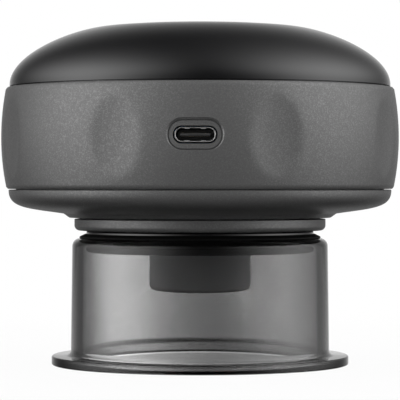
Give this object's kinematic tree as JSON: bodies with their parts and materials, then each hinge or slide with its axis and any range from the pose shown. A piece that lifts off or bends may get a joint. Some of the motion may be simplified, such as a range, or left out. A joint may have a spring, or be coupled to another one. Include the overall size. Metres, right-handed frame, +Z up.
{
  "type": "electric cupping massager",
  "caption": "Round hand-held suction massager with a domed top, finger dimples, a charging port and a clear pull-off cup around a heated light head.",
  "frame": {"origin": "centre of the cup's rim, on the surface the massager stands on", "axes": "+Z up along the cup's axis to the dome; -Y towards the charging port; +X to the right of the port"},
  "size_m": [0.093, 0.0929, 0.0792],
  "materials": {
    "satin_grey": "satin metallic grey moulding with a fine sparkle",
    "gloss_black": "polished piano black",
    "key_black": "satin black key caps",
    "smoked_lens": "smoked display window",
    "dark_plastic": "dark grey moulding",
    "smoke_clear": "clear smoked polycarbonate, polished",
    "black_rubber": "soft black silicone",
    "red_lens": "clear red light ring",
    "circuit_green": "solder-masked circuit board",
    "bright_steel": "bright plated steel",
    "zinc_steel": "zinc-plated steel",
    "cell_wrap": "blue shrink sleeve over a steel can",
    "milky_silicone": "milky silicone tube",
    "white_plastic": "natural white plastic",
    "light_chip": "light-emitting diode",
    "grey_foam": "open-cell filter foam"
  },
  "bodies": {
    "device": {"seal_ring": "black_rubber", "neck": "gloss_black", "cup_seat_ring": "satin_grey", "head_housing": "dark_plastic", "heat_plate": "bright_steel", "lens_ring": "red_lens", "head_board": "circuit_green", "head_light_1": "light_chip", "head_light_2": "light_chip", "head_light_3": "light_chip", "head_light_4": "light_chip", "filter_foam": "grey_foam", "suction_pipe": "white_plastic", "stem_nut": "white_plastic", "bottom_cover": "satin_grey", "main_housing": "satin_grey", "top_cover": "gloss_black", "case_screw_1": "zinc_steel", "case_screw_2": "zinc_steel", "case_screw_3": "zinc_steel", "usb_shell": "bright_steel", "usb_tongue": "black_rubber", "charge_board": "circuit_green", "charge_screw_1": "zinc_steel", "charge_screw_2": "zinc_steel", "panel_disc": "gloss_black", "power_switch": "zinc_steel", "suction_switch": "zinc_steel", "heat_switch": "zinc_steel", "display_lens": "smoked_lens", "display_module": "white_plastic", "control_board": "circuit_green", "board_screw_1": "zinc_steel", "board_screw_2": "zinc_steel", "board_screw_3": "zinc_steel", "chassis": "dark_plastic", "chassis_screw_1": "zinc_steel", "chassis_screw_2": "zinc_steel", "chassis_screw_3": "zinc_steel", "battery_cell": "cell_wrap", "motor_can": "bright_steel", "motor_cap": "white_plastic", "pump_body": "dark_plastic", "pump_cover": "dark_plastic", "valve_body": "zinc_steel", "valve_cap": "dark_plastic", "tee": "white_plastic", "cup_tube": "milky_silicone", "valve_tube": "milky_silicone", "pump_tube": "milky_silicone"},
    "power_key": {"power_key": "key_black"},
    "suction_key": {"suction_key": "key_black"},
    "heat_key": {"heat_key": "key_black"},
    "cup": {"suction_cup": "smoke_clear"},
    "rotor": {"motor_rotor": "zinc_steel", "eccentric": "zinc_steel"},
    "pump_rod": {"pump_rod": "white_plastic", "diaphragm": "black_rubber"},
    "valve_plunger": {"valve_plunger": "bright_steel", "valve_spring": "bright_steel"}
  },
  "joints": [
    {"name": "power_press", "type": "slide", "parent": "device", "child": "power_key", "axis": [0, 0, -1], "range_m": [0, 0.0004], "stiffness_N_per_m": 1500, "springref_m": -0.0004},
    {"name": "suction_press", "type": "slide", "parent": "device", "child": "suction_key", "axis": [0, 0, -1], "range_m": [0, 0.0004], "stiffness_N_per_m": 1500, "springref_m": -0.0004},
    {"name": "heat_press", "type": "slide", "parent": "device", "child": "heat_key", "axis": [0, 0, -1], "range_m": [0, 0.0004], "stiffness_N_per_m": 1500, "springref_m": -0.0004},
    {"name": "cup_pull", "type": "slide", "parent": "device", "child": "cup", "axis": [0, 0, -1], "range_m": [0, 0.03]},
    {"name": "motor_spin", "type": "hinge", "parent": "device", "child": "rotor", "pos_m": [0, 0.0185, 0.0492], "axis": [1, 0, 0], "continuous": true},
    {"name": "rod_stroke", "type": "slide", "parent": "device", "child": "pump_rod", "axis": [0, 0, 1], "range_m": [-0.0006, 0.0006], "stiffness_N_per_m": 400, "deforming": ["diaphragm"]},
    {"name": "valve_lift", "type": "slide", "parent": "device", "child": "valve_plunger", "axis": [0, 0, 1], "range_m": [0, 0.0008], "stiffness_N_per_m": 250, "springref_m": -0.001, "deforming": ["valve_spring"]}
  ]
}
